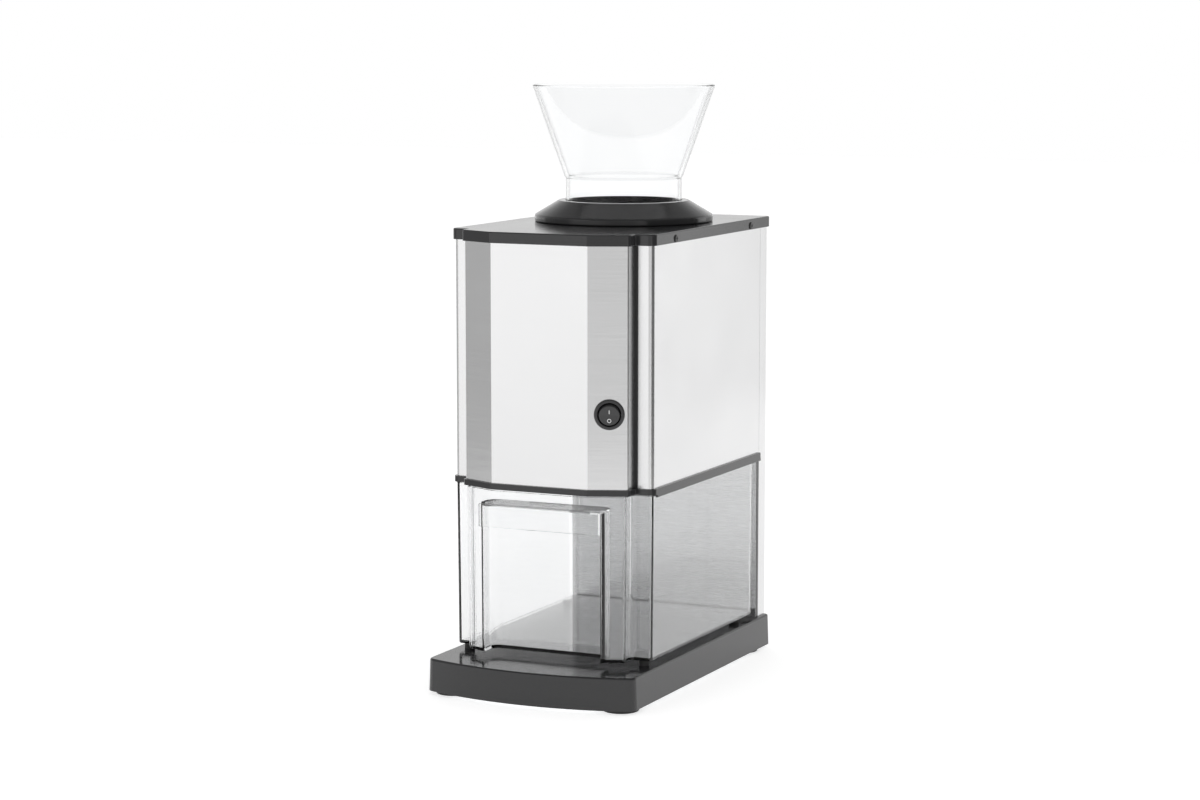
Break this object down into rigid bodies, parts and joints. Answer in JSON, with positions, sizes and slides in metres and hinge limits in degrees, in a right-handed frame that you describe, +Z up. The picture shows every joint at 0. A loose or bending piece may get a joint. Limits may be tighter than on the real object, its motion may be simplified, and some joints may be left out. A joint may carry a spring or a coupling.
{
  "type": "electric ice crusher",
  "caption": "Tabletop electric ice crusher: clear hopper over a faceted steel housing with a geared blade shaft, rocker switch and clear pull-out bin on a bowed base.",
  "frame": {"origin": "centre of the footprint, on the surface that the feet stand on", "axes": "+X across the width, to the right of a user who faces the front panel; +Y from the front to the back; +Z up"},
  "size_m": [0.1732, 0.286, 0.4594],
  "materials": {
    "steel_panel": "stainless sheet with a fine horizontal brushed grain",
    "black_plastic": "satin black moulding",
    "dark_trim": "matt black",
    "black_rubber": "matt black rubber",
    "switch_black": "satin black",
    "clear_plastic": "clear polished",
    "zinc_screw": "zinc plated",
    "black_screw": "black oxide",
    "zinc_plate": "zinc plated sheet",
    "cast_aluminium": "cast, blasted",
    "white_plastic": "food grade white",
    "blade_steel": "ground stainless",
    "gear_steel": "machined and oiled",
    "bronze": "sintered bronze",
    "copper": "enamelled copper",
    "dark_ceramic": "ferrite and carbon, matt grey",
    "lead_sleeve": "sleeved wire"
  },
  "bodies": {
    "housing": {"base_plate": "zinc_plate", "base_tray": "black_plastic", "bay_rear_wall": "steel_panel", "bearing_plate_front": "zinc_plate", "bearing_plate_rear": "zinc_plate", "bin_pads": "dark_trim", "body_floor": "black_plastic", "cable_gland": "dark_trim", "chute": "white_plastic", "collar_screws": "zinc_screw", "comb_left": "blade_steel", "comb_right": "blade_steel", "crusher_housing": "cast_aluminium", "feet": "black_rubber", "foot_screws": "zinc_screw", "front_panel": "steel_panel", "gear_plate": "zinc_plate", "gear_standoffs": "zinc_plate", "groove_trim_left": "dark_trim", "groove_trim_right": "dark_trim", "hex_screws": "zinc_screw", "hopper_collar": "black_plastic", "internal_leads": "lead_sleeve", "lay_bushes": "bronze", "lid": "black_plastic", "lid_screws": "black_screw", "motor_brushes": "dark_ceramic", "motor_can": "zinc_plate", "motor_drive_bell": "cast_aluminium", "motor_end_bell": "dark_trim", "motor_magnets": "dark_ceramic", "rear_cover": "steel_panel", "rear_cover_screws": "zinc_screw", "rear_post_left": "black_plastic", "rear_post_right": "black_plastic", "shaft_bushes": "bronze", "shaft_seals": "black_rubber", "side_panel_left": "steel_panel", "side_panel_right": "steel_panel", "spine_channel": "zinc_plate", "switch_housing": "switch_black"},
    "hopper": {"hopper": "clear_plastic"},
    "bin": {"ice_bin": "clear_plastic"},
    "rocker": {"switch_rocker": "switch_black"},
    "crusher": {"crusher_shaft": "blade_steel", "blade_1": "blade_steel", "blade_2": "blade_steel", "blade_3": "blade_steel", "blade_4": "blade_steel", "blade_spacers": "blade_steel", "drive_wheel": "gear_steel"},
    "layshaft_body": {"layshaft": "gear_steel", "lay_pinion": "gear_steel", "lay_wheel": "gear_steel"},
    "rotor": {"motor_shaft": "gear_steel", "motor_pinion": "gear_steel", "armature_core": "gear_steel", "armature_winding": "copper", "commutator": "copper"}
  },
  "joints": [
    {"name": "bin_slide", "type": "slide", "parent": "housing", "child": "bin", "axis": [0, -1, 0], "range_m": [0, 0.2]},
    {"name": "hopper_lift", "type": "slide", "parent": "housing", "child": "hopper", "axis": [0, 0, 1], "range_m": [0, 0.1]},
    {"name": "rocker_tilt", "type": "hinge", "parent": "housing", "child": "rocker", "pos_m": [0.05434, -0.1007, 0.2197], "axis": [0.9234, 0.3839, 0], "range_deg": [-16, 0]},
    {"name": "crusher_spin", "type": "hinge", "parent": "housing", "child": "crusher", "pos_m": [0, 0.0435, 0.268], "axis": [0, 1, 0], "continuous": true},
    {"name": "layshaft_spin", "type": "hinge", "parent": "housing", "child": "layshaft_body", "pos_m": [-0.02892, -0.02, 0.23353], "axis": [0, 1, 0], "continuous": true},
    {"name": "motor_spin", "type": "hinge", "parent": "housing", "child": "rotor", "pos_m": [0, -0.06, 0.22418], "axis": [0, 1, 0], "continuous": true}
  ],
  "couplings": [
    {"joint": "layshaft_spin", "follows": "crusher_spin", "ratio": -3.5},
    {"joint": "motor_spin", "follows": "crusher_spin", "ratio": 13.125}
  ]
}
